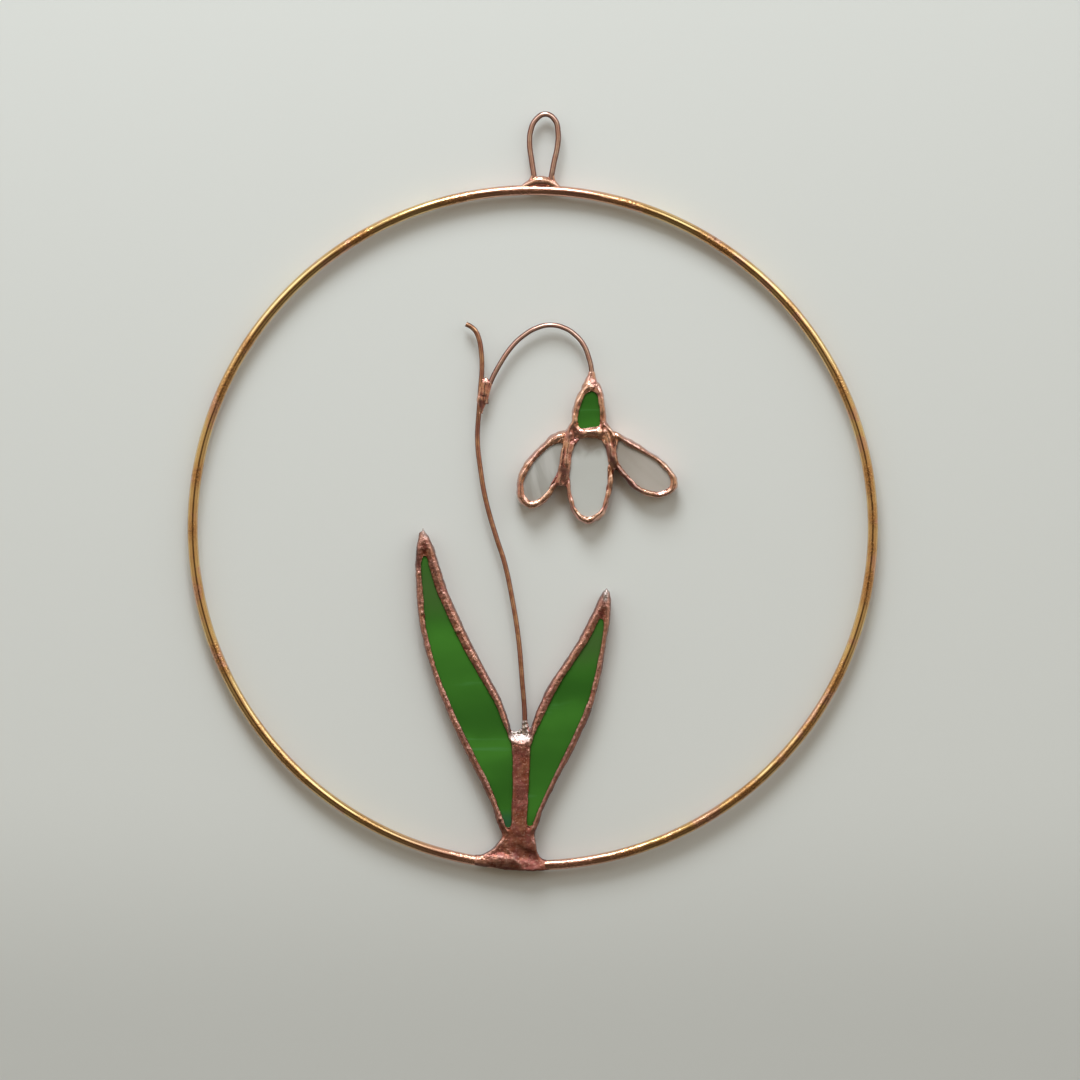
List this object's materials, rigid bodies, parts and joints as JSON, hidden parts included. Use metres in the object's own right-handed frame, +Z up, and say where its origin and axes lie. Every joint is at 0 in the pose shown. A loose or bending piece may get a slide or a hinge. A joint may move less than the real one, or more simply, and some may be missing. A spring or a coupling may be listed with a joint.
{
  "type": "stained glass suncatcher",
  "caption": "Copper-foiled stained glass snowdrop soldered inside a slim brass hoop, hung by a wire loop to catch the light.",
  "frame": {"origin": "inside top of the wire hanging loop, where the hook that holds the panel up touches it", "axes": "+Z up, +X to the right as seen from the front, -Y out of the front face of the panel, which hangs in the XZ plane"},
  "size_m": [0.2, 0.0048, 0.2216],
  "materials": {
    "brass_hoop": "polished brass wire with fine scratches",
    "copper_wire": "bare copper wire, lightly tarnished",
    "copper_solder": "copper-plated solder over copper foil, lumpy and semi-gloss with dark patina spots",
    "bare_solder": "dull grey unplated solder",
    "green_glass": "streaky green opalescent sheet glass, smooth face",
    "white_glass": "wispy white opalescent sheet glass, smooth face"
  },
  "bodies": {
    "root": {"hoop": "brass_hoop", "hanging_loop": "copper_wire", "hanging_loop_solder": "copper_solder", "stem_wire": "copper_wire", "pedicel_wire": "copper_wire", "stem_joint_solder": "copper_solder", "stem_foot_solder": "bare_solder", "ovary_cap_solder": "copper_solder", "ovary_glass": "green_glass", "ovary_foil": "copper_solder", "left_petal_glass": "white_glass", "left_petal_foil": "copper_solder", "centre_petal_glass": "white_glass", "centre_petal_foil": "copper_solder", "right_petal_glass": "white_glass", "right_petal_foil": "copper_solder", "flower_seam_solder": "copper_solder", "left_leaf_glass": "green_glass", "left_leaf_foil": "copper_solder", "right_leaf_glass": "green_glass", "right_leaf_foil": "copper_solder", "leaf_seam_solder": "copper_solder", "base_solder": "copper_solder"}
  },
  "joints": []
}
